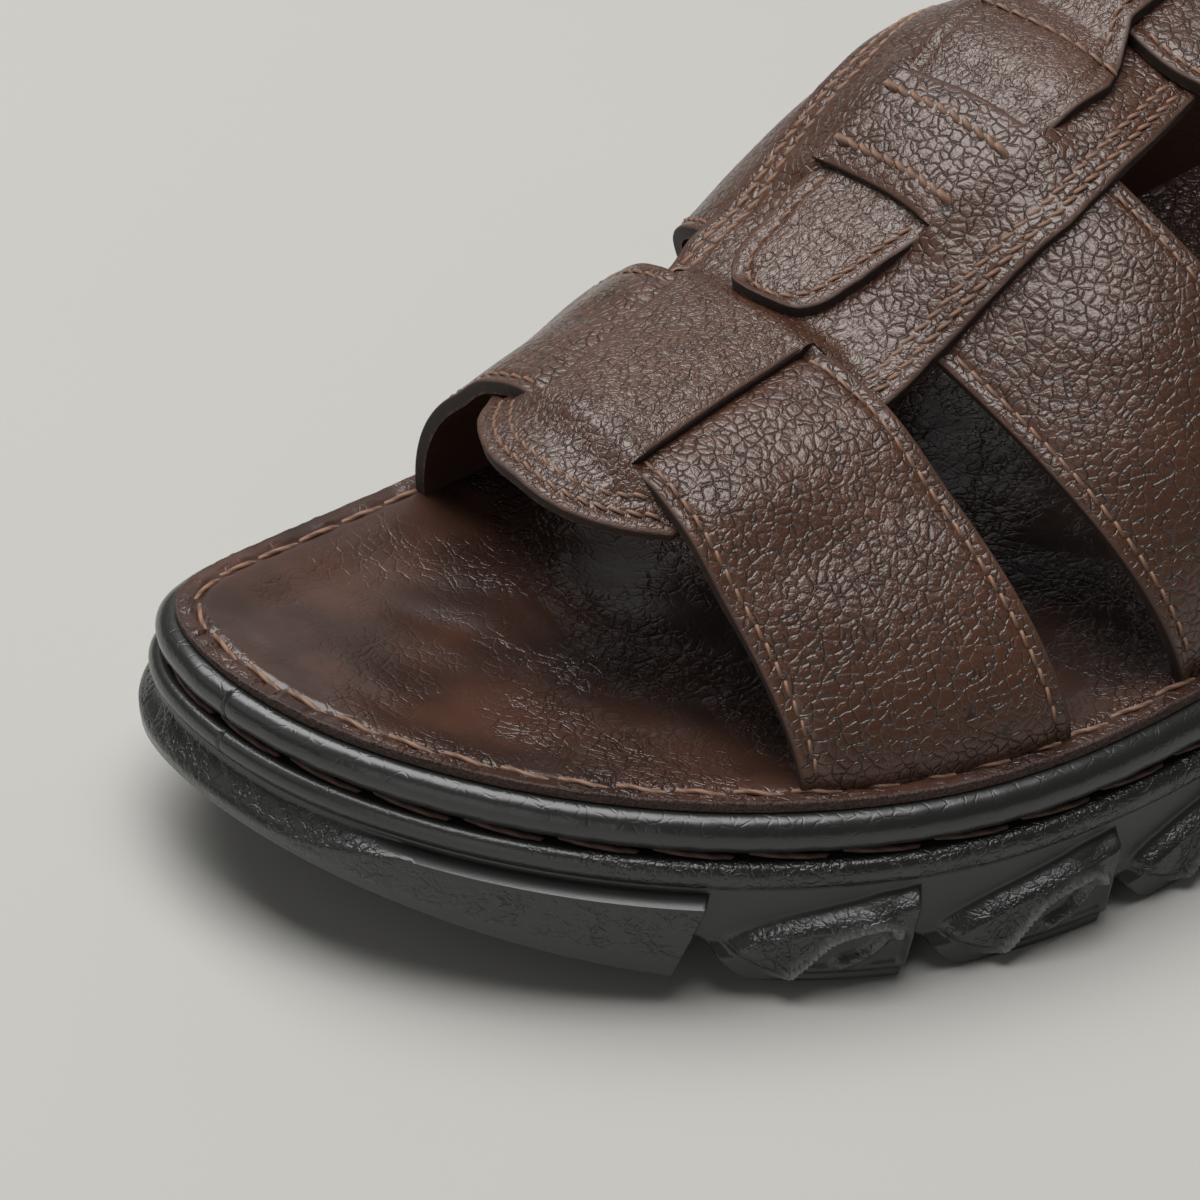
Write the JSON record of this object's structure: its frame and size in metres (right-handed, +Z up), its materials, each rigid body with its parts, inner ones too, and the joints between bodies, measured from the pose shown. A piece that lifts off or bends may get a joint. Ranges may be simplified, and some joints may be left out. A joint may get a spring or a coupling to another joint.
{
  "type": "fisherman sandal",
  "caption": "Leather fisherman sandal for the left foot: crossing straps through a stitched saddle, dished insole, bead welt and a lugged rubber outsole.",
  "frame": {"origin": "on the floor, under the middle of the sandal's bounding box", "axes": "+Y from toe to heel, +X to the outer (lateral) side of the foot, +Z up from the floor"},
  "size_m": [0.114, 0.2804, 0.094],
  "materials": {
    "outsole_rubber": "black moulded rubber with a wrinkled, half-glossy side",
    "welt_bead": "smooth satin black bead",
    "insole_leather": "glossy reddish-brown leather with fine creases",
    "upper_leather": "dark brown pebbled leather with tan stitching"
  },
  "bodies": {
    "root": {"outsole": "outsole_rubber", "welt": "welt_bead", "insole": "insole_leather", "upper": "upper_leather"}
  },
  "joints": []
}
